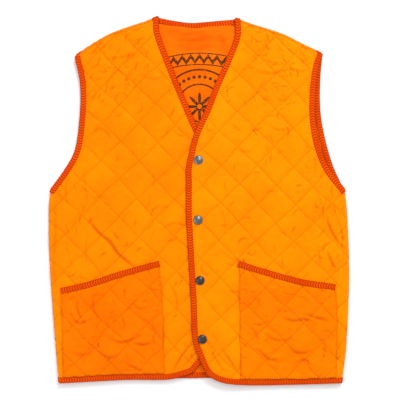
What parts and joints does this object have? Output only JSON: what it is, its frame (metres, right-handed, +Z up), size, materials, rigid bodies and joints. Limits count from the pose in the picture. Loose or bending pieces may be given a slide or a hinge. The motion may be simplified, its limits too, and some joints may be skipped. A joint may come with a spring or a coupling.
{
  "type": "quilted gilet",
  "caption": "Sleeveless quilted gilet with a V neck, patch pockets, bound edges and a snap front, lying flat on its back.",
  "frame": {"origin": "middle of the footprint, on the surface that the gilet lies on", "axes": "+X towards the wearer's left, +Y from hem to neck, +Z up from the surface, out of the chest"},
  "size_m": [0.5552, 0.6826, 0.018],
  "materials": {
    "shell": "bright orange nylon, diamond quilted, slight sheen",
    "lining": "plain orange nylon lining with a black printed motif",
    "pocket": "redder orange nylon, diamond quilted",
    "binding": "dark orange herringbone braid",
    "snap": "dark gunmetal, domed and polished"
  },
  "bodies": {
    "root": {"back": "shell", "back_lining": "lining", "front_left": "shell", "front_right": "shell", "pocket_left": "pocket", "pocket_right": "pocket", "edge_binding_left": "binding", "edge_binding_right": "binding", "armhole_binding_left_front": "binding", "armhole_binding_left_back": "binding", "armhole_binding_right_front": "binding", "armhole_binding_right_back": "binding", "neck_binding_back": "binding", "hem_binding_back": "binding", "pocket_binding_left": "binding", "pocket_binding_right": "binding", "snap_cap_1": "snap", "snap_stud_1": "snap", "snap_cap_2": "snap", "snap_stud_2": "snap", "snap_cap_3": "snap", "snap_stud_3": "snap", "snap_cap_4": "snap", "snap_stud_4": "snap"}
  },
  "joints": []
}
